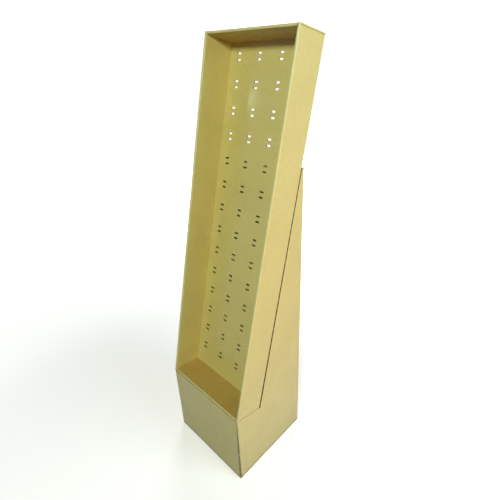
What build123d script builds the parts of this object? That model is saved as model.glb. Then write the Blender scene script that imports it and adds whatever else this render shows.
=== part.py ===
"""Folded corrugated floor stand: a long peg tray that leans back on a tall folded base.

Millimetres, +Z up. The origin is the centre of the base's footprint on the floor.
The open side of the tray and the low front panel face -Y.
"""
import os
from math import atan, cos, degrees, radians, sin, tan

from build123d import *

# Board
board = 4.0  # thickness of the corrugated sheet
fold_radius = 4.0  # outside radius of a fold through the sheet
rim_radius = 3.0  # outside radius of the two folds along a rolled edge
cut_gap = 0.6  # space left where one panel's edge stops at another panel

# Base
stand_width = 400.0
base_depth = 400.0
wing_flat = 10.5  # flat top of each side panel's wing, beside the back panel
front_height = 360.0
front_setback = 8.0  # the front panel's top lies this far behind its foot
glue_flap_width = 35.0
glue_flap_inset = 6.0  # the glue flap stops this far above the floor

# Tray
tilt = 15.0  # degrees that the tray leans back
tray_length = 1380.0
tray_depth = 130.0
slit_low = 6.0  # between the tray's back and the base's wings, at the tray's foot
slit_high = 2.5  # the same gap at the wings' tops
wall_gap = 1.0  # between the two boards of a rolled side wall
roll_gap = 0.5  # between the two boards of a rolled end wall, just behind its rim
floor_rise = 15.0  # inner face of the bottom wall above its outer face, at the back panel
top_drop = 12.0  # inner face of the top wall below its outer face, at the back panel
corner_flap_width = 90.0
corner_flap_start = 40.0  # how far the corner flaps lie behind the rim of an end wall
flap_seat = 20.0  # depth over which an end wall's inner board rests on its corner flaps
lock_tab_count = 5
lock_tab_length = 60.0
lock_tab_margin = 160.0  # first and last lock tabs' centres from the tray's ends

# Hook slots in the tray's back panel, in pairs one above the other
column_pitch = 97.0
row_pitch = 93.0
prong_pitch = 21.0
slot_width = 17.0
slot_height = 6.5
first_slot = 47.0  # centre of the highest slot below the tray's top
least_edge = 40.0  # least distance from the outer columns' centres to the side walls
least_rise = 70.0  # least height of the lowest slot above the tray's floor

# Inner pieces
insert_gap = 0.5  # between an inner piece and the base's side panels
seat_gap = 0.3  # between an inner piece and the panel that it stands against
cradle_flange = 80.0
upstand_height = 55.0
upstand_width = 300.0
tie_width = 300.0
tie_height = 50.0
tie_drop = 40.0  # the tie's top is at least this far below the base's back edge
floor_flange = 80.0

# Worked out from the dimensions above
half_width = stand_width / 2
front_y = -base_depth / 2
back_y = base_depth / 2
lean = radians(tilt)
front_lean = degrees(atan(front_setback / front_height))
up_tray = Vector(0, sin(lean), cos(lean))
into_tray = Vector(0, cos(lean), -sin(lean))
tray_foot = Vector(0, front_y + front_setback, front_height)
panel_face = tray_depth - board  # depth of the back panel's front face
side_wall = 2 * board + wall_gap  # rolled side wall, outer face to inner face
rim_wall = 2 * board + roll_gap  # rolled end wall at its front edge, outer to inner face
end_wall = 3 * board  # the same where a corner flap lies between its two boards
inner_half = half_width - side_wall
rim_half = inner_half - cut_gap

# tray_section looks up the tray: x across, y into the depth, extruded along the tray.
# tray_side looks across it: x into the depth, y up along the tray, extruded across.
# tray_face lies on its open front: x across, y up along the tray, z out of the front.
tray_section = Plane(origin=tray_foot, x_dir=(1, 0, 0), z_dir=up_tray)
tray_side = Plane(origin=tray_foot, x_dir=into_tray, z_dir=(1, 0, 0))
tray_face = Plane(origin=tray_foot, x_dir=(1, 0, 0), z_dir=-into_tray)
front_section = Plane(
    origin=(0, front_y, 0),
    x_dir=(1, 0, 0),
    z_dir=(0, sin(radians(front_lean)), cos(radians(front_lean))),
)


def tray_point(depth, along):
    """The (y, z) place of a point given by its depth into the tray and its height along it."""
    place = tray_foot + into_tray * depth + up_tray * along
    return (place.Y, place.Z)


def front_inner_y(height, offset):
    """Y of a face that lies `offset` behind the front panel's outer face, at a height."""
    return front_y + height * front_setback / front_height + offset


def spread(first, last, count):
    """`count` evenly spaced values from first to last."""
    return [first + (last - first) * i / (count - 1) for i in range(count)]


# ---------------------------------------------------------------------------
# Tray: one folded sheet
# ---------------------------------------------------------------------------
slot_columns = int((2 * inner_half - 2 * least_edge) // column_pitch) + 1
slot_reach = tray_length - first_slot - prong_pitch - floor_rise - least_rise
slot_rows = int(slot_reach // row_pitch) + 1
lock_tabs = spread(lock_tab_margin, tray_length - lock_tab_margin, lock_tab_count)
slot_heights = [
    tray_length - first_slot - row * row_pitch - prong * prong_pitch
    for row in range(slot_rows)
    for prong in range(2)
]
slot_places = [
    ((column - (slot_columns - 1) / 2) * column_pitch, height)
    for column in range(slot_columns)
    for height in slot_heights
]

with BuildPart() as display_tray:
    # Back panel and both rolled side walls: a channel with double walls.
    with BuildSketch(tray_section.offset(board)) as wall_section:
        with Locations((0, tray_depth / 2)):
            Rectangle(stand_width, tray_depth)
        fillet(wall_section.vertices().group_by(Axis.Y)[0], rim_radius)
        fillet(wall_section.vertices().sort_by(Axis.Y)[-2:], fold_radius)
        with Locations((0, panel_face / 2)):
            Rectangle(2 * inner_half, panel_face, mode=Mode.SUBTRACT)
        fillet(
            wall_section.vertices().filter_by_position(
                Axis.Y, -cut_gap, cut_gap
            ).filter_by_position(Axis.X, -inner_half - cut_gap, inner_half + cut_gap),
            rim_radius,
        )
        for side in (-1, 1):
            cavity_middle = side * (half_width - side_wall / 2)
            with Locations((cavity_middle, (board + panel_face) / 2)):
                Rectangle(side_wall - 2 * board, panel_face - board, mode=Mode.SUBTRACT)
            with Locations((side * (inner_half + board / 2), panel_face - cut_gap / 2)):
                Rectangle(board + 2 * cut_gap, cut_gap, mode=Mode.SUBTRACT)
    extrude(amount=tray_length - 2 * board)

    # Lock tabs of the inner side walls, each through its slot in the back panel.
    for side in (-1, 1):
        tab_middle = side * (inner_half + board / 2)
        with BuildSketch(tray_face.offset(-tray_depth)):
            with Locations([(tab_middle, height) for height in lock_tabs]):
                Rectangle(board + cut_gap, lock_tab_length + 2 * cut_gap)
        extrude(amount=board, mode=Mode.SUBTRACT)
        with BuildSketch(tray_face.offset(-tray_depth)):
            with Locations([(tab_middle, height) for height in lock_tabs]):
                Rectangle(board, lock_tab_length)
        extrude(amount=2 * board)

    # The inner side walls stop short of the ends, where the corner flaps pass.
    flap_room = 2 * board + cut_gap
    for side in (-1, 1):
        with BuildSketch(tray_face.offset(-board)):
            for end in (flap_room / 2, tray_length - flap_room / 2):
                with Locations((side * (half_width - board - side_wall / 2), end)):
                    Rectangle(side_wall, flap_room)
        extrude(amount=-(panel_face - board), mode=Mode.SUBTRACT)

    # Rounded folds where the side walls turn into the corner flaps, then the flaps.
    flap_depth = panel_face - cut_gap - corner_flap_start
    for side in (-1, 1):
        for end, inward in ((board, 1), (tray_length - board, -1)):
            fold_centre = (side * (half_width - rim_radius), end + inward * rim_radius)
            with BuildSketch(tray_face.offset(-board)):
                with Locations((side * (half_width - rim_radius / 2), end + inward * rim_radius / 2)):
                    Rectangle(rim_radius, rim_radius)
                with Locations(fold_centre):
                    Circle(rim_radius, mode=Mode.SUBTRACT)
            extrude(amount=-(panel_face - board), mode=Mode.SUBTRACT)
            flap_middle = half_width - board - corner_flap_width / 2
            with BuildSketch(tray_face.offset(-corner_flap_start)):
                with Locations((side * flap_middle, end + inward * board / 2)):
                    Rectangle(corner_flap_width, board)
            extrude(amount=-flap_depth)

    # End walls. The outer panel spans the full width; the rolled rim and the inner
    # panel fit between the side walls.
    for end, inward, inner_back in ((0, 1, floor_rise), (tray_length, -1, top_drop)):
        inner_edge = panel_face - cut_gap
        for width, rounded in ((2 * rim_half, True), (stand_width, False)):
            with BuildSketch(tray_side.offset(-width / 2)) as outer_panel:
                front = 0 if rounded else rim_radius
                with BuildLine():
                    Polyline(
                        (front, end),
                        (tray_depth, end),
                        (tray_depth, end + inward * board),
                        (front, end + inward * board),
                        close=True,
                    )
                make_face()
                fold_corners = outer_panel.vertices().sort_by(Axis.X)[-2:]
                fold_corner = fold_corners.sort_by(Axis.Y)[0 if inward > 0 else -1]
                fillet(fold_corner, min(fold_radius, 0.99 * board))
                if rounded:
                    rim_corners = outer_panel.vertices().sort_by(Axis.X)[:2]
                    fillet(rim_corners.sort_by(Axis.Y)[0 if inward > 0 else -1], rim_radius)
            extrude(amount=width)
        # Square ears of the outer panel, outside the rolled rim.
        for side in (-1, 1):
            ear_width = half_width - rim_half
            with BuildSketch(tray_face):
                with Locations((side * (half_width - ear_width / 2), end + inward * board / 2)):
                    Rectangle(ear_width, board)
            extrude(amount=-board)
        with BuildSketch(tray_side.offset(-rim_half)) as rim:
            with BuildLine():
                Polyline(
                    (0, end + inward * board),
                    (0, end + inward * rim_wall),
                    (corner_flap_start, end + inward * end_wall),
                    (corner_flap_start + flap_seat, end + inward * end_wall),
                    (inner_edge, end + inward * inner_back),
                    (inner_edge, end + inward * (inner_back - board)),
                    (corner_flap_start + flap_seat, end + inward * (end_wall - board)),
                    (corner_flap_start, end + inward * (end_wall - board)),
                    (board, end + inward * (rim_wall - board)),
                    (board, end + inward * board),
                    close=True,
                )
            make_face()
            front_corners = rim.vertices().sort_by(Axis.X)[:2]
            fillet(front_corners.sort_by(Axis.Y)[-1 if inward > 0 else 0], rim_radius)
        extrude(amount=2 * rim_half)

    # Hook slots.
    with BuildSketch(tray_face.offset(-tray_depth)):
        with Locations(slot_places):
            Rectangle(slot_width, slot_height)
    extrude(amount=board, mode=Mode.SUBTRACT)

# ---------------------------------------------------------------------------
# Base: one folded sheet, glued at the +X front corner
# ---------------------------------------------------------------------------
slit_foot = tray_point(tray_depth + slit_low, 0)
slit_line = tray_point(tray_depth + slit_high, 0)  # where the slit's high end would reach the foot
wing_y = back_y - wing_flat
back_height = slit_line[1] + (wing_y - slit_line[0]) / tan(lean)
wing_top = (wing_y, back_height)
front_top = front_height - board * tan(lean)  # the front panel's edge clears the tray
flange_low = tray_point(tray_depth, 0)[1] - cradle_flange  # lower edge of the cradle's flanges
above = back_height + board  # any height over the base, for cuts that run out of its top

with BuildPart() as base_wrap:
    with BuildSketch(Plane.YZ.offset(-half_width)):
        with BuildLine():
            Polyline(
                (front_y, 0),
                (tray_foot.Y, tray_foot.Z),
                slit_foot,
                wing_top,
                (back_y, back_height),
                (back_y, 0),
                close=True,
            )
        make_face()
    extrude(amount=stand_width)
    # Folds: two at the back, one at the -X front corner.
    upright = base_wrap.edges().filter_by(Axis.Z).sort_by(Axis.Y)[-2:]
    fillet(upright, fold_radius)
    front_edges = base_wrap.edges().filter_by(
        lambda edge: edge.bounding_box().max.Y < tray_foot.Y + board
        and edge.bounding_box().size.Z > front_height / 2
    )
    fillet(front_edges.sort_by(Axis.X)[0], fold_radius)
    # Hollow inside.
    with BuildSketch(Plane.YZ.offset(-half_width + board)):
        with BuildLine():
            Polyline(
                (front_inner_y(-board, board), -board),
                (front_inner_y(above, board), above),
                (back_y - board, above),
                (back_y - board, -board),
                close=True,
            )
        make_face()
    extrude(amount=stand_width - 2 * board, mode=Mode.SUBTRACT)
    # The front panel's top edge is cut square, just under the tray.
    with BuildSketch(Plane.XY.offset(front_top)):
        with Locations((0, tray_foot.Y)):
            Rectangle(stand_width - 2 * board, 2 * board + front_setback)
    extrude(amount=board, mode=Mode.SUBTRACT)
    # Glue flap, folded in from the +X side panel and stuck behind the front panel.
    with BuildSketch(front_section.offset(glue_flap_inset)):
        with Locations((half_width - board - glue_flap_width / 2, 1.5 * board)):
            Rectangle(glue_flap_width, board)
    extrude(amount=flange_low - glue_flap_inset - cut_gap)
    # Groove beside the flap's rounded fold, where the front panel's cut edge laps it.
    with BuildSketch(front_section.offset(-board)):
        with Locations((half_width - rim_radius / 2, board + rim_radius / 2)):
            Rectangle(rim_radius, rim_radius)
        with Locations((half_width - rim_radius, board + rim_radius)):
            Circle(rim_radius, mode=Mode.SUBTRACT)
    extrude(amount=front_height - board, mode=Mode.SUBTRACT)

# ---------------------------------------------------------------------------
# Cradle: folded sheet under the tray, glued inside the base
# ---------------------------------------------------------------------------
insert_half = half_width - board - insert_gap
shelf_front = tray_point(board + seat_gap, 0)
shelf_back = tray_point(tray_depth, 0)
shelf_back_low = tray_point(tray_depth + board, -board)
upstand_top = tray_point(tray_depth + board, upstand_height)
shelf_corner = tray_point(2 * board + seat_gap + board * tan(lean), -board)

with BuildPart() as tray_cradle:
    # Shelf, with its flanges down each side and down behind the front panel.
    with BuildSketch(Plane.YZ.offset(-insert_half)):
        with BuildLine():
            Polyline(
                (front_inner_y(flange_low, board + seat_gap), flange_low),
                shelf_front,
                shelf_back,
                tray_point(tray_depth, -cradle_flange),
                close=True,
            )
        make_face()
    extrude(amount=2 * insert_half)
    with BuildSketch(Plane.YZ.offset(-insert_half + board)):
        with BuildLine():
            Polyline(
                (front_inner_y(0, 2 * board + seat_gap), 0),
                shelf_corner,
                tray_point(2 * tray_depth, -board),
                (back_y, 0),
                close=True,
            )
        make_face()
    extrude(amount=2 * (insert_half - board), mode=Mode.SUBTRACT)
    # Upstand behind the tray's back, narrower than the shelf.
    with BuildSketch(Plane.YZ.offset(-upstand_width / 2)):
        with BuildLine():
            Polyline(
                tray_point(tray_depth, -board),
                tray_point(tray_depth, upstand_height),
                upstand_top,
                shelf_back_low,
                close=True,
            )
        make_face()
    extrude(amount=upstand_width)

# ---------------------------------------------------------------------------
# Tie: folded box strip from the tray's back to the base's back panel
# ---------------------------------------------------------------------------
# It is stuck to the highest bare band between two rows of slots that the base covers.
bare_bands = [
    tray_length - first_slot - prong_pitch / 2 - (row + 0.5) * row_pitch
    for row in range(slot_rows)
]
tie_middle = [
    middle
    for middle in bare_bands
    if tray_point(tray_depth, middle + tie_height / 2)[1] < back_height - tie_drop
][0]
tie_low = tray_point(tray_depth, tie_middle - tie_height / 2)
tie_high = tray_point(tray_depth, tie_middle + tie_height / 2)
tie_back = back_y - board

with BuildPart() as back_tie:
    with BuildSketch(Plane.YZ.offset(-tie_width / 2)) as tie_section:
        with BuildLine():
            Polyline(
                tie_low,
                tie_high,
                (tie_back, tie_high[1]),
                (tie_back, tie_low[1]),
                close=True,
            )
        make_face()
        offset(amount=-board, kind=Kind.INTERSECTION, mode=Mode.SUBTRACT)
    extrude(amount=tie_width)

# ---------------------------------------------------------------------------
# Floor insert: folded tray in the bottom of the base
# ---------------------------------------------------------------------------
floor_back = back_y - board - insert_gap

with BuildPart() as base_floor:
    with BuildSketch(Plane.YZ.offset(-insert_half)):
        with BuildLine():
            Polyline(
                (front_inner_y(0, board + insert_gap), 0),
                (front_inner_y(floor_flange, board + insert_gap), floor_flange),
                (floor_back, floor_flange),
                (floor_back, 0),
                close=True,
            )
        make_face()
    extrude(amount=2 * insert_half)
    with BuildSketch(Plane.YZ.offset(-insert_half + board)):
        with BuildLine():
            Polyline(
                (front_inner_y(board, 2 * board + insert_gap), board),
                (front_inner_y(2 * floor_flange, 2 * board + insert_gap), 2 * floor_flange),
                (floor_back - board, 2 * floor_flange),
                (floor_back - board, board),
                close=True,
            )
        make_face()
    extrude(amount=2 * (insert_half - board), mode=Mode.SUBTRACT)
    # Slits at the four corners, between the turned-up flanges.
    with BuildSketch(Plane.XY.offset(board)):
        for side in (-1, 1):
            with Locations(
                (side * (insert_half - board - cut_gap), front_inner_y(board, 1.5 * board)),
                (side * (insert_half - board - cut_gap), floor_back - board / 2),
            ):
                Rectangle(2 * cut_gap, 2 * board)
    extrude(amount=floor_flange, mode=Mode.SUBTRACT)
    # The front flange stops before the glue flap.
    with BuildSketch(Plane.XY.offset(board)):
        with Locations((half_width - board - glue_flap_width / 2, front_y + 1.5 * board)):
            Rectangle(glue_flap_width + board, 3 * board)
    extrude(amount=floor_flange, mode=Mode.SUBTRACT)

# ---------------------------------------------------------------------------
# Files
# ---------------------------------------------------------------------------
display_tray.part.label = "display_tray"
base_wrap.part.label = "base_wrap"
tray_cradle.part.label = "tray_cradle"
back_tie.part.label = "back_tie"
base_floor.part.label = "base_floor"

os.makedirs("parts", exist_ok=True)
export_step(display_tray.part, "parts/display_tray.step")
export_step(base_wrap.part, "parts/base_wrap.step")
export_step(tray_cradle.part, "parts/tray_cradle.step")
export_step(back_tie.part, "parts/back_tie.step")
export_step(base_floor.part, "parts/base_floor.step")
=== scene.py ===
"""Looks of a folded corrugated display stand: open board edges, fluted paper and a plain studio."""

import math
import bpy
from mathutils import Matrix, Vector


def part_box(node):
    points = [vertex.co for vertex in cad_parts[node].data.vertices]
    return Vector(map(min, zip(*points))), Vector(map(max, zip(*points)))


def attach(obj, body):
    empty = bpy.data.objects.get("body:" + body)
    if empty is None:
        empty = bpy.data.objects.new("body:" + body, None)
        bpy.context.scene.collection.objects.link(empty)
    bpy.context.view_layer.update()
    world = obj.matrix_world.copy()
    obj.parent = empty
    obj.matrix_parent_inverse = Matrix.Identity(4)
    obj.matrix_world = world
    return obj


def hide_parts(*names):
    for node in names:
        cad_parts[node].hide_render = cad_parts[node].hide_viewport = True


bl_info = {
    "name": "Cardboard Display Stand",
    "version": (1, 0, 0),
    "blender": (4, 5, 0),
    "location": "View3D > Sidebar > Stand",
    "description": "Builds the boards, fluted edges, finishes and studio of a folded floor stand",
    "category": "Object",
}

import bmesh
import bpy
from bpy.props import FloatProperty, FloatVectorProperty, PointerProperty
from mathutils import Quaternion, Vector

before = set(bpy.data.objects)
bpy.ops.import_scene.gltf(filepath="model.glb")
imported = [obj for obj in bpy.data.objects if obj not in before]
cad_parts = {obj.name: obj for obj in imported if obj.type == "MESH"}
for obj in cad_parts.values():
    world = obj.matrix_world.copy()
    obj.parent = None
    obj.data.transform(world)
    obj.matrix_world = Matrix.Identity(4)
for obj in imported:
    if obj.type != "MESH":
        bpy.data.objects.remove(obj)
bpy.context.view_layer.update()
tray_low, tray_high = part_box("display_tray")
base_low, base_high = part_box("base_wrap")

# Limits that the mesh work shares
SAME_POINT = 1e-6  # corners this close are one corner
SAME_PLANE = math.radians(0.3)  # faces that turn by less are one flat face
SHARP_EDGE = math.radians(32)  # edges that turn by more are shaded sharp
SQUARE_EDGE = math.radians(50)  # edges that turn by more are the corners of a cut
ALONG = 0.9  # a normal's share along a direction for its face to look that way
WAVE_STEPS = 8  # flat steps in each flute


# ---------------------------------------------------------------------------
# Sizes, colours and studio settings
# ---------------------------------------------------------------------------
def length(name, description, default):
    return FloatProperty(name=name, description=description, default=default, precision=5, unit="LENGTH")


def angle(name, description, degrees):
    return FloatProperty(name=name, description=description, default=math.radians(degrees), subtype="ANGLE")


def colour(name, description, default):
    return FloatVectorProperty(
        name=name, description=description, default=default, size=3, min=0, max=1, subtype="COLOR"
    )


def amount(name, description, default):
    return FloatProperty(name=name, description=description, default=default, min=0)


class STAND_PG_board(bpy.types.PropertyGroup):
    """The corrugated board that both sheets are cut from."""

    thickness: length("Board", "Thickness of the corrugated board", 0.004)
    liner: length("Liner", "Thickness of each flat paper face of the board", 0.00045)
    medium: length("Medium", "Thickness of the fluted paper between the liners", 0.0003)
    pitch: length("Flute pitch", "Distance from one flute to the next", 0.008)
    opening: length("Edge depth", "How deep a cut edge is open between its liners", 0.011)
    lean: angle("Tray lean", "Angle that the tray leans back by", 15)
    tray_length: length("Tray length", "Length of the tray along its lean", 1.38)
    tray_depth: length("Tray depth", "Depth of the tray square to its lean", 0.13)
    slit_low: length("Slit foot", "Gap between the tray and the base's wings, at the tray's foot", 0.006)
    wing_flat: length("Wing flat", "Level top of each wing beside the base's back", 0.0105)
    # The paler band along the rolled rims is a painted highlight; this is its width.
    rim: length("Rim width", "Width of the paler band that folding leaves on a rolled rim", 0.0035)
    # Width of the painted shade in the glued corner's groove and along the foot.
    painted_shade_width: length("Painted shade width", "Width of the dark scuffs at the glued corner and along the foot", 0.009)


class STAND_PG_finish(bpy.types.PropertyGroup):
    """Colours and gloss of the board."""

    liner: colour("Liner", "Colour of the satin outer face", (0.70, 0.575, 0.225))
    liner_shade: colour("Liner shade", "Darker tone of the mottling in the outer face", (0.64, 0.515, 0.188))
    # Painted highlight: this paler colour stands in for light catching the rims and folded corners.
    rim: colour("Rim highlight", "Colour of the paler, stretched paper along rims and folds", (0.74, 0.66, 0.36))
    cut: colour("Cut edge", "Colour of a cut through the liners", (0.20, 0.135, 0.055))
    medium: colour("Medium", "Colour of the fluted paper", (0.40, 0.27, 0.095))
    # Painted shade: this near-black colour stands in for the shade inside the open cuts.
    hollow: colour("Hollow", "Colour of the shaded paper inside an open cut", (0.10, 0.062, 0.026))
    inner: colour("Inner board", "Colour of the plain inner pieces", (0.42, 0.29, 0.13))
    # Painted shade: this tint darkens the tray's inner end faces to stand in for the shade that falls there.
    painted_end_shade: colour("Painted end shade", "Warmer, darker tint on the tray's inner ends", (0.84, 0.69, 0.54))
    roughness: amount("Roughness", "Roughness of the satin outer face", 0.42)
    film: amount("Film", "Weight of the thin glossy film over the outer face", 0.3)
    film_roughness: amount("Film roughness", "Roughness of the glossy film", 0.13)
    washboard: amount("Washboard", "How strongly the flutes show through the outer face", 0.35)


class STAND_PG_studio(bpy.types.PropertyGroup):
    """Camera, floor and lights."""

    camera_place: FloatVectorProperty(
        name="Camera place",
        description="Where the camera stands",
        default=(0.9184, -0.8076, 1.6766),
        size=3,
        subtype="TRANSLATION",
        unit="LENGTH",
    )
    camera_heading: angle("Camera heading", "Angle that the camera looks along, from +Y towards +X", -48.54)
    camera_down: angle("Camera down", "Angle that the camera looks down by", 28.52)
    camera_roll: angle("Camera roll", "Angle that the camera is turned about its own line of sight", -4.82)
    lens: FloatProperty(name="Lens", description="Focal length", default=27.22, unit="CAMERA")
    camera_shift: FloatVectorProperty(
        name="Camera shift",
        description="Shift of the picture, as a share of its width",
        default=(0.0486, -0.0179),
        size=2,
    )
    floor: colour("Floor", "Colour of the floor and backdrop", (0.86, 0.85, 0.92))
    key: amount("Key light", "Power of the large soft light on the +X side", 45)
    front: amount("Front light", "Power of the softbox in front, above the tray", 101)
    rear: amount("Rear light", "Power of the soft light behind, on the -X side", 90)
    glow: amount("Glow light", "Power of the low warm light on the +X side", 4.9)
    side_glow: amount("Side glow", "Power of the warm light that skims into the tray from the +X side", 5)
    bounce: amount("Bounce light", "Power of the cool light that comes off the floor on the +X side", 2.1)
    window: amount("Window light", "Power of the small light that glints in the tray's panel", 1.8)
    sky: colour("Upper air", "Colour of the light from above the horizon", (0.02, 0.02, 0.02))
    ground: colour("Lower air", "Colour of the light from below the horizon", (0.015, 0.013, 0.01))


settings = (
    ("stand_board", STAND_PG_board),
    ("stand_finish", STAND_PG_finish),
    ("stand_studio", STAND_PG_studio),
)


# ---------------------------------------------------------------------------
# Shader helpers
# ---------------------------------------------------------------------------
class Nodes:
    """A material's node tree, with short calls for the nodes that the finishes share."""

    def __init__(self, name):
        self.material = bpy.data.materials.new(name)
        self.material.use_nodes = True
        self.tree = self.material.node_tree
        self.shader = self.tree.nodes["Principled BSDF"]

    def add(self, kind, **inputs):
        node = self.tree.nodes.new(kind)
        for name, value in inputs.items():
            self.put(node.inputs[name.replace("_", " ")], value)
        return node

    def put(self, socket, value):
        if isinstance(value, bpy.types.NodeSocket):
            self.tree.links.new(value, socket)
        else:
            socket.default_value = value

    def math(self, operation, *values, clamp=False):
        node = self.tree.nodes.new("ShaderNodeMath")
        node.operation = operation
        node.use_clamp = clamp
        for socket, value in zip(node.inputs, values):
            self.put(socket, value)
        return node.outputs["Value"]

    def vector(self, operation, *values):
        node = self.tree.nodes.new("ShaderNodeVectorMath")
        node.operation = operation
        for socket, value in zip(node.inputs, values):
            self.put(socket, value)
        return node.outputs["Value" if operation == "DOT_PRODUCT" else "Vector"]

    def place(self):
        return self.tree.nodes.new("ShaderNodeTexCoord").outputs["Object"]

    def sheet_map(self):
        node = self.tree.nodes.new("ShaderNodeUVMap")
        node.uv_map = "Sheet"
        return node.outputs["UV"]

    def noise(self, where, scale, detail=2.0, roughness=0.5):
        node = self.add("ShaderNodeTexNoise", Vector=where, Scale=scale, Detail=detail, Roughness=roughness)
        return node.outputs["Fac"]

    def between(self, value, low, high, to_low=0.0, to_high=1.0):
        node = self.tree.nodes.new("ShaderNodeMapRange")
        node.interpolation_type = "SMOOTHSTEP"
        for name, number in (
            ("Value", value),
            ("From Min", low),
            ("From Max", high),
            ("To Min", to_low),
            ("To Max", to_high),
        ):
            self.put(node.inputs[name], number)
        return node.outputs["Result"]

    def blend(self, share, first, second, kind="MIX"):
        node = self.tree.nodes.new("ShaderNodeMix")
        node.data_type = "RGBA"
        node.blend_type = kind
        self.put(node.inputs[0], share)
        self.put(node.inputs[6], first)
        self.put(node.inputs[7], second)
        return node.outputs[2]

    def bump(self, height, distance, strength, under=None):
        node = self.add("ShaderNodeBump", Height=height, Distance=distance, Strength=strength)
        if under is not None:
            self.put(node.inputs["Normal"], under)
        return node.outputs["Normal"]


def rgba(value):
    return (*value, 1.0)


def satin_board(name, highlight_rim_mask, painted_shade_mask=None, shade=None):
    """The filmed outer face: mottled, fibrous and faintly washboarded by the flutes.

    It is paler where the rim mask paints a highlight on rims and folds, and darker where the shade mask
    paints shade in the glued corner and along the foot. When shade is given, that colour is multiplied in as
    painted shade.
    """
    finish = bpy.context.scene.stand_finish
    board = bpy.context.scene.stand_board
    n = Nodes(name)
    place, sheet = n.place(), n.sheet_map()
    blotches = n.between(n.noise(place, 5.0, 3.0), 0.35, 0.65)
    mottle = n.between(n.noise(place, 60.0, 4.0, 0.6), 0.3, 0.7)
    fibres = n.noise(n.vector("MULTIPLY", sheet, (2600.0, 300.0, 1.0)), 1.0, 2.0)
    tone = n.math("MULTIPLY_ADD", mottle, 0.45, n.math("MULTIPLY", blotches, 0.45))
    paper = n.blend(tone, rgba(finish.liner), rgba(finish.liner_shade))
    paper = n.blend(n.between(fibres, 0.62, 0.80, 0.0, 0.16), paper, rgba(finish.cut), "MULTIPLY")
    # The flutes behind the face: one soft ridge for each pitch across the sheet.
    across = n.add("ShaderNodeSeparateXYZ", Vector=sheet).outputs["X"]
    turn = n.math("MULTIPLY", across, 2 * math.pi / board.pitch)
    ridge = n.math("MULTIPLY_ADD", n.math("SINE", turn), 0.5, 0.5)
    uneven = n.between(n.noise(n.vector("MULTIPLY", sheet, (9.0, 2.0, 1.0)), 1.0, 2.0), 0.3, 0.7, 0.35, 1.0)
    ridge = n.math("MULTIPLY", ridge, uneven)
    paper = n.blend(n.math("MULTIPLY", ridge, 0.06), paper, rgba(finish.liner_shade))
    # Painted shade: the given colour darkens these faces as if they lay in shade.
    if shade:
        paper = n.blend(n.between(mottle, 0.0, 0.5, 0.85, 1.0), paper, rgba(shade), "MULTIPLY")
    # Painted highlight: rims and folds are painted paler, with less film and a rougher gloss.
    rim_highlight = n.math("MULTIPLY", highlight_rim_mask(n, place), n.between(mottle, 0.0, 1.0, 0.55, 1.0))
    paper = n.blend(rim_highlight, paper, rgba(finish.rim))
    gloss = n.math("MULTIPLY_ADD", mottle, 0.06, finish.roughness)
    gloss = n.math("MULTIPLY_ADD", rim_highlight, 0.12, gloss)
    film = n.math("MULTIPLY_ADD", rim_highlight, -0.5 * finish.film, finish.film)
    # Painted shade: the cut colour darkens the glued corner's groove and the foot, and the film is taken off
    # there.
    if painted_shade_mask:
        painted_shade = n.math("MULTIPLY", painted_shade_mask(n, place), n.between(mottle, 0.0, 0.6, 0.6, 1.0))
        paper = n.blend(painted_shade, paper, rgba(finish.cut))
        film = n.math("MULTIPLY", film, n.math("SUBTRACT", 1.0, painted_shade))
    n.put(n.shader.inputs["Base Color"], paper)
    n.put(n.shader.inputs["Roughness"], gloss)
    n.put(n.shader.inputs["Coat Weight"], film)
    n.shader.inputs["Coat Roughness"].default_value = finish.film_roughness
    n.shader.inputs["Specular IOR Level"].default_value = 0.22
    grain = n.bump(fibres, 0.00004, 0.5)
    n.put(n.shader.inputs["Normal"], n.bump(ridge, 0.00012, finish.washboard, grain))
    return n.material


def cut_board(name, base, spread):
    """A knife cut through the paper: darker, dry and ragged. Given the hollow colour, it paints the shade
    inside an open cut.
    """
    n = Nodes(name)
    place = n.place()
    ragged = n.noise(place, 1400.0, 3.0, 0.7)
    soft = n.noise(place, 35.0, 2.0)
    tone = n.between(n.math("MULTIPLY_ADD", ragged, 0.7, n.math("MULTIPLY", soft, 0.3)), 0.35, 0.65)
    light = tuple(min(1.0, channel * (1 + spread)) for channel in base)
    dark = tuple(channel * (1 - spread) for channel in base)
    n.put(n.shader.inputs["Base Color"], n.blend(tone, rgba(dark), rgba(light)))
    n.put(n.shader.inputs["Roughness"], n.between(ragged, 0.3, 0.7, 0.82, 0.95))
    n.shader.inputs["Specular IOR Level"].default_value = 0.2
    n.put(n.shader.inputs["Normal"], n.bump(ragged, 0.0002, 0.6))
    return n.material


def plain_board(name):
    """Unseen inner pieces: plain brown board with its fibres."""
    finish = bpy.context.scene.stand_finish
    n = Nodes(name)
    place = n.place()
    mottle = n.noise(place, 45.0, 4.0, 0.6)
    fibres = n.noise(n.vector("MULTIPLY", place, (1800.0, 1800.0, 250.0)), 1.0, 2.0)
    shade = tuple(channel * 0.78 for channel in finish.inner)
    tone = n.between(n.math("MULTIPLY_ADD", fibres, 0.4, n.math("MULTIPLY", mottle, 0.6)), 0.35, 0.65)
    n.put(n.shader.inputs["Base Color"], n.blend(tone, rgba(finish.inner), rgba(shade)))
    n.put(n.shader.inputs["Roughness"], n.between(mottle, 0.3, 0.7, 0.6, 0.75))
    n.put(n.shader.inputs["Normal"], n.bump(fibres, 0.00006, 0.5))
    return n.material


# ---------------------------------------------------------------------------
# Board helpers
# ---------------------------------------------------------------------------
FACE, CUT, HOLLOW, END = 0, 1, 2, 3


def directions():
    """Up the leaning tray and into its depth, as unit vectors."""
    lean = bpy.context.scene.stand_board.lean
    return Vector((0, math.sin(lean), math.cos(lean))), Vector((0, math.cos(lean), -math.sin(lean)))


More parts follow.
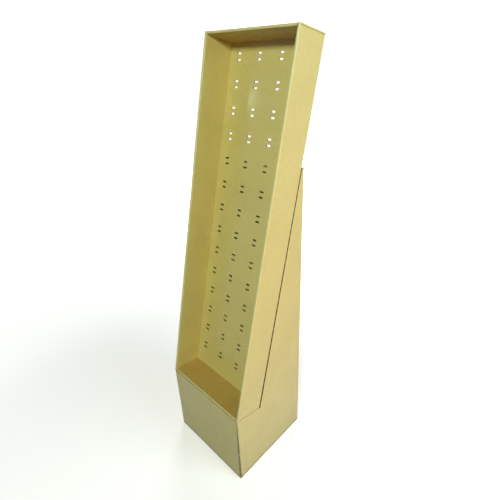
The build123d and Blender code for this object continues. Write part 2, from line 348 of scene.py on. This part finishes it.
def tray_foot():
    """The lowest front edge of the tray, at its middle."""
    up, into = directions()
    return Vector((0, tray_low.y, tray_high.z - up.z * bpy.context.scene.stand_board.tray_length))


def sheet_of(node):
    """A merged copy of a packed sheet, with its flat faces whole."""
    bm = bmesh.new()
    bm.from_mesh(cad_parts[node].data)
    bmesh.ops.remove_doubles(bm, verts=bm.verts[:], dist=SAME_POINT)
    bmesh.ops.dissolve_limit(
        bm, angle_limit=SAME_PLANE, verts=bm.verts[:], edges=bm.edges[:], use_dissolve_boundaries=False
    )
    return bm


def mark_cuts(bm, width):
    """Faces as narrow as the board, with square long sides, are cuts through it."""
    for face in bm.faces:
        face.smooth = True
        longest = max(edge.calc_length() for edge in face.edges)
        sides = [edge for edge in face.edges if edge.calc_length() > 0.6 * longest]
        narrow = 2 * face.calc_area() / face.calc_perimeter() < width
        square = all(edge.calc_face_angle(0) > SQUARE_EDGE for edge in sides)
        face.material_index = CUT if narrow and square else FACE


def open_cuts(bm, faces, depth):
    """Hollows each cut out between its two liners."""
    board = bpy.context.scene.stand_board
    bmesh.ops.inset_individual(bm, faces=faces, thickness=board.liner, depth=0, use_even_offset=True)
    walls = bmesh.ops.inset_individual(bm, faces=faces, thickness=0, depth=-depth, use_even_offset=True)
    # These faces take the near-black hollow colour, a painted shade.
    for face in walls["faces"] + faces:
        face.material_index = HOLLOW
        face.smooth = False


def map_sheet(bm, across, along):
    """Lays a map over the sheet, in metres: first number across the flutes, second along them."""
    layer = bm.loops.layers.uv.new("Sheet")
    for face in bm.faces:
        for loop in face.loops:
            loop[layer].uv = (across(face, loop.vert.co), along(face, loop.vert.co))


def wave(bm, start, run, deep, side, travel):
    """A strip of fluted paper that runs from start, reaches deep into the board and waves to its side.

    travel is how far the strip's run takes it across the flutes.
    """
    board = bpy.context.scene.stand_board
    count = max(WAVE_STEPS, round(travel / board.pitch * WAVE_STEPS))
    made = bmesh.ops.create_grid(bm, x_segments=count, y_segments=1, size=0.5)["verts"]
    swing = board.thickness / 2 - board.liner - board.medium / 2
    for vert in made:
        share = vert.co.x + 0.5
        turn = 2 * math.pi * share * travel / board.pitch
        vert.co = start + run * share + deep * (vert.co.y + 0.5) + side * (swing * math.sin(turn))
    return made


def finish_piece(name, bm, materials, stands_for=None):
    """Makes the object, sharpens its real corners and lets it ride on the stand."""
    mesh = bpy.data.meshes.new(name)
    bm.to_mesh(mesh)
    bm.free()
    mesh.set_sharp_from_angle(angle=SHARP_EDGE)
    for material in materials:
        mesh.materials.append(material)
    piece = bpy.data.objects.new(name, mesh)
    bpy.context.scene.collection.objects.link(piece)
    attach(piece, "root")
    if stands_for:
        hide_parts(stands_for)
    return piece


def even_shading(piece):
    """Keeps the flat panels flat beside their rounded folds."""
    even = piece.modifiers.new("Even shading", "WEIGHTED_NORMAL")
    even.keep_sharp = True
    even.weight = 100


# ---------------------------------------------------------------------------
# Operators
# ---------------------------------------------------------------------------
class STAND_OT_tray_board(bpy.types.Operator):
    """Builds the tray's sheet with open cuts in its slots and ears"""

    bl_idname = "stand.tray_board"
    bl_label = "Tray Board"

    def execute(self, context):
        board = context.scene.stand_board
        up, into = directions()
        foot = tray_foot()
        bm = sheet_of("display_tray")
        mark_cuts(bm, 1.1 * board.thickness)
        end = 1.5 * board.thickness
        last = board.tray_length - end
        opened = []
        for face in bm.faces:
            centre = face.calc_center_median() - foot
            deep, high = centre.dot(into), centre.dot(up)
            in_panel = deep > board.tray_depth - board.thickness and abs(face.normal.dot(up)) > ALONG
            in_slot = in_panel and 10 * board.thickness < high < last
            on_ear = face.normal.dot(into) < -ALONG and deep < board.thickness and not end < high < last
            if face.material_index == CUT and (in_slot or on_ear):
                opened.append(face)
        open_cuts(bm, opened, board.thickness)
        # The tray's inner end faces, its floor and ceiling, take the painted shade material.
        for face in bm.faces:
            high = (face.calc_center_median() - foot).dot(up)
            inward = face.normal.dot(up) * (1 if high < board.tray_length / 2 else -1)
            near_end = min(high, board.tray_length - high) < 6 * board.thickness
            if face.material_index == FACE and inward > ALONG and near_end:
                face.material_index = END

        def across(face, point):
            return (point - foot).dot(into) if abs(face.normal.x) > 0.7 else point.x

        def along(face, point):
            return (point - foot).dot(into if abs(face.normal.dot(up)) > 0.7 else up)

        map_sheet(bm, across, along)
        finish = context.scene.stand_finish

        # Painted highlight along the tray's front rims.
        def highlight_rim_mask(n, place):
            depth = n.math("SUBTRACT", n.vector("DOT_PRODUCT", place, into), foot.dot(into))
            return n.between(depth, 0.6 * board.rim, board.rim, 1.0, 0.0)

        materials = [
            satin_board("Tray satin board", highlight_rim_mask),
            cut_board("Tray cut edge", finish.cut, 0.25),
            cut_board("Tray flute hollow", finish.hollow, 0.3),
            satin_board("Tray end board", highlight_rim_mask, shade=finish.painted_end_shade),
        ]
        piece = finish_piece("tray_board", bm, materials, "display_tray")
        even_shading(piece)
        return {"FINISHED"}


class STAND_OT_base_board(bpy.types.Operator):
    """Builds the base's sheet with open cuts along its wings and upper edges"""

    bl_idname = "stand.base_board"
    bl_label = "Base Board"

    def execute(self, context):
        board = context.scene.stand_board
        up, into = directions()
        bm = sheet_of("base_wrap")
        mark_cuts(bm, 1.2 * board.thickness)
        opened = []
        for face in bm.faces:
            high = face.calc_center_median().z
            leaning = face.normal.dot(into) < -0.99
            at_end = high > base_high.z - board.thickness or high < board.thickness
            if face.material_index == CUT and (leaning or abs(face.normal.z) > 0.99 and at_end):
                opened.append(face)
        for face in bm.faces:
            on_top = face.normal.z > ALONG and face.calc_center_median().z > base_high.z - 0.001
            if on_top and face not in opened:
                opened.append(face)
        open_cuts(bm, opened, board.opening)
        map_sheet(
            bm,
            lambda face, point: point.y if abs(face.normal.x) > 0.7 else point.x,
            lambda face, point: point.z,
        )
        finish = context.scene.stand_finish

        # Painted highlight along the base's folded vertical corners.
        def highlight_rim_mask(n, place):
            x = n.math("ABSOLUTE", n.add("ShaderNodeSeparateXYZ", Vector=place).outputs["X"])
            y = n.math("ABSOLUTE", n.add("ShaderNodeSeparateXYZ", Vector=place).outputs["Y"])
            corner = n.math("MINIMUM", n.math("SUBTRACT", x, base_high.x), n.math("SUBTRACT", y, base_high.y))
            return n.between(corner, -board.rim, -0.4 * board.rim, 0.0, 0.6)

        # Painted shade in the groove at the +X front glued corner, and painted contact shade along the foot.
        def painted_shade_mask(n, place):
            parts = n.add("ShaderNodeSeparateXYZ", Vector=place).outputs
            joint = n.math(
                "MINIMUM",
                n.between(parts["X"], base_high.x - board.painted_shade_width, base_high.x - 0.6 * board.painted_shade_width),
                n.between(parts["Y"], base_low.y + 0.6 * board.painted_shade_width, base_low.y + board.painted_shade_width, 1.0, 0.0),
            )
            foot = n.between(parts["Z"], 0.7 * board.painted_shade_width, 1.2 * board.painted_shade_width, 1.0, 0.0)
            return n.math("MAXIMUM", joint, foot)

        materials = [
            satin_board("Base satin board", highlight_rim_mask, painted_shade_mask),
            cut_board("Base cut edge", finish.cut, 0.25),
            cut_board("Base flute hollow", finish.hollow, 0.3),
        ]
        piece = finish_piece("base_board", bm, materials, "base_wrap")
        even_shading(piece)
        return {"FINISHED"}


class STAND_OT_base_flutes(bpy.types.Operator):
    """Adds the fluted paper that shows in the base's open cuts"""

    bl_idname = "stand.base_flutes"
    bl_label = "Base Flutes"

    def execute(self, context):
        board = context.scene.stand_board
        finish = context.scene.stand_finish
        up, into = directions()
        bm = bmesh.new()
        side, back = base_high.x - board.thickness / 2, base_high.y - board.thickness / 2
        wing_top = Vector((0, base_high.y - board.wing_flat, base_high.z))
        slit_foot = tray_foot() + into * (board.tray_depth + board.slit_low)
        run = wing_top - slit_foot
        slope = run.normalized()
        down = Vector((0, 0, -board.opening))
        for sign in (-1, 1):
            start = slit_foot + slope * (2 * board.liner) + Vector((sign * side, 0, -board.liner))
            length = run - slope * (4 * board.liner)
            wave(bm, start, length, down / slope.y, Vector((1, 0, 0)), length.y)
        top = Vector((-base_high.x + 2 * board.thickness, back, base_high.z - board.liner))
        across = Vector((2 * base_high.x - 4 * board.thickness, 0, 0))
        wave(bm, top, across, down, Vector((0, 1, 0)), across.x)
        bmesh.ops.solidify(bm, geom=bm.faces[:], thickness=board.medium)
        for face in bm.faces:
            face.smooth = True
        finish_piece("base_flutes", bm, [cut_board("Base medium", finish.medium, 0.3)])
        return {"FINISHED"}


class STAND_OT_inner_sheets(bpy.types.Operator):
    """Gives the cradle, the tie and the floor insert their plain brown board"""

    bl_idname = "stand.inner_sheets"
    bl_label = "Inner Sheets"

    def execute(self, context):
        material = plain_board("Inner board")
        for node in ("tray_cradle", "back_tie", "base_floor"):
            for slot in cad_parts[node].material_slots:
                slot.material = material
        return {"FINISHED"}


# Half of the floor and backdrop's section, from the middle outwards
BOWL = ((0, 0, 0), (5.0, 0, 0), (6.0, 0, 1.0), (6.0, 0, 4.0))
# Heights on the sky between which its lower colour turns into its upper one
HORIZON = (-0.25, 0.35)
# Name, power's field, place, target, size and tint of each light
LIGHTS = (
    ("Key", "key", (2.4, 0.8, 2.3), (0, 0.1, 1.2), (1.6, 1.8), (0.72, 0.91, 1.0)),
    ("Front", "front", (1.9, -2.55, 3.05), (0, 0.1, 1.1), (0.45, 0.45), (0.86, 1.0, 0.74)),
    ("Rear", "rear", (-2.6, 2.9, 2.0), (0, 0.1, 0.9), (2.0, 2.0), (1.0, 0.97, 0.9)),
    ("Glow", "glow", (1.5, 0.2, 0.75), (0.2, 0.1, 0.8), (0.7, 0.5), (1.0, 0.45, 0.12)),
    ("Side glow", "side_glow", (2.5, -0.95, 1.5), (-0.19, 0.1, 1.0), (0.6, 0.6), (1.0, 0.5, 0.2)),
    ("Bounce", "bounce", (1.1, -0.1, 0.12), (0.2, 0.05, 0.2), (0.8, 0.2), (0.35, 0.65, 1.0)),
    ("Window", "window", (-1.92, -1.53, 2.08), (-0.07, 0.22, 1.45), (0.22, 0.12), (1, 1, 1)),
)


def area_light(name, place, target, size, power, tint):
    """A soft rectangular light that faces its target."""
    data = bpy.data.lights.new(name, "AREA")
    data.shape = "RECTANGLE"
    data.size, data.size_y = size
    data.energy = power
    data.color = tint
    light = bpy.data.objects.new(name, data)
    light.location = place
    light.rotation_mode = "QUATERNION"
    light.rotation_quaternion = (Vector(target) - Vector(place)).to_track_quat("-Z", "Y")
    bpy.context.scene.collection.objects.link(light)
    return light


class STAND_OT_stage(bpy.types.Operator):
    """Sets the pale floor, the studio lights and the camera"""

    bl_idname = "stand.stage"
    bl_label = "Stage"

    def execute(self, context):
        scene = context.scene
        studio = scene.stand_studio
        bm = bmesh.new()
        first, edge, top, roof = (bm.verts.new(place) for place in BOWL)
        for pair in ((first, edge), (edge, top), (top, roof)):
            bm.edges.new(pair)
        bmesh.ops.bevel(
            bm, geom=[edge, top], offset=0.9, segments=8, profile=0.5, affect="VERTICES", material=-1
        )
        bmesh.ops.spin(
            bm,
            geom=bm.verts[:] + bm.edges[:],
            cent=(0, 0, 0),
            axis=(0, 0, 1),
            angle=2 * math.pi,
            steps=96,
            use_merge=True,
        )
        bmesh.ops.remove_doubles(bm, verts=bm.verts[:], dist=1e-5)
        bmesh.ops.recalc_face_normals(bm, faces=bm.faces[:])
        for face in bm.faces:
            face.smooth = True
        mesh = bpy.data.meshes.new("Floor")
        bm.to_mesh(mesh)
        bm.free()
        floor = bpy.data.objects.new("Floor", mesh)
        scene.collection.objects.link(floor)
        n = Nodes("Studio floor")
        place = n.place()
        tone = n.between(n.noise(place, 0.6, 2.0), 0.3, 0.7)
        shade = tuple(channel * 0.985 for channel in studio.floor)
        n.put(n.shader.inputs["Base Color"], n.blend(tone, rgba(studio.floor), rgba(shade)))
        n.shader.inputs["Roughness"].default_value = 0.16
        n.shader.inputs["Specular IOR Level"].default_value = 0.8
        away = n.tree.nodes.new("ShaderNodeVectorMath")
        away.operation = "LENGTH"
        n.put(away.inputs[0], place)
        n.shader.inputs["Emission Color"].default_value = (1, 1, 1, 1)
        n.put(n.shader.inputs["Emission Strength"], n.between(away.outputs["Value"], 0.5, 4.5, 0.38, 0.95))
        mesh.materials.append(n.material)
        floor.visible_diffuse = False

        world = bpy.data.worlds.new("Studio air")
        scene.world = world
        world.use_nodes = True
        air = world.node_tree
        heading = air.nodes.new("ShaderNodeTexCoord")
        parts = air.nodes.new("ShaderNodeSeparateXYZ")
        height = air.nodes.new("ShaderNodeMapRange")
        height.interpolation_type = "SMOOTHSTEP"
        height.inputs["From Min"].default_value, height.inputs["From Max"].default_value = HORIZON
        shades = air.nodes.new("ShaderNodeMix")
        shades.data_type = "RGBA"
        shades.inputs[6].default_value = rgba(studio.ground)
        shades.inputs[7].default_value = rgba(studio.sky)
        air.links.new(heading.outputs["Generated"], parts.inputs[0])
        air.links.new(parts.outputs["Z"], height.inputs["Value"])
        air.links.new(height.outputs["Result"], shades.inputs[0])
        air.links.new(shades.outputs[2], air.nodes["Background"].inputs["Color"])
        for name, field, place, target, size, tint in LIGHTS:
            area_light(name, place, target, size, getattr(studio, field), tint)

        data = bpy.data.cameras.new("Camera")
        data.lens = studio.lens
        data.sensor_width = 36.0
        data.shift_x, data.shift_y = studio.camera_shift
        data.clip_start = 0.01
        camera = bpy.data.objects.new("Camera", data)
        flat = math.cos(studio.camera_down)
        ahead = Vector(
            (
                math.sin(studio.camera_heading) * flat,
                math.cos(studio.camera_heading) * flat,
                -math.sin(studio.camera_down),
            )
        )
        camera.rotation_mode = "QUATERNION"
        roll = Quaternion((0, 0, 1), studio.camera_roll)
        camera.rotation_quaternion = ahead.to_track_quat("-Z", "Y") @ roll
        camera.location = studio.camera_place
        scene.collection.objects.link(camera)
        scene.camera = camera
        scene.view_settings.view_transform = "Standard"
        return {"FINISHED"}


steps = (
    STAND_OT_tray_board,
    STAND_OT_base_board,
    STAND_OT_base_flutes,
    STAND_OT_inner_sheets,
    STAND_OT_stage,
)


class STAND_PT_panel(bpy.types.Panel):
    """Lists the steps that build the stand"""

    bl_idname = "STAND_PT_panel"
    bl_label = "Display Stand"
    bl_space_type = "VIEW_3D"
    bl_region_type = "UI"
    bl_category = "Stand"

    def draw(self, context):
        for name, group in settings:
            box = self.layout.box()
            box.label(text=group.__doc__)
            for field in group.__annotations__:
                box.prop(getattr(context.scene, name), field)
        for step in steps:
            self.layout.operator(step.bl_idname)


def register():
    for name, group in settings:
        bpy.utils.register_class(group)
        setattr(bpy.types.Scene, name, PointerProperty(type=group))
    for kind in (*steps, STAND_PT_panel):
        bpy.utils.register_class(kind)


def unregister():
    for kind in (STAND_PT_panel, *reversed(steps)):
        bpy.utils.unregister_class(kind)
    for name, group in reversed(settings):
        delattr(bpy.types.Scene, name)
        bpy.utils.unregister_class(group)


def main():
    register()
    for step in steps:
        group, call = step.bl_idname.split(".")
        getattr(getattr(bpy.ops, group), call)()


if __name__ == "__main__":
    main()
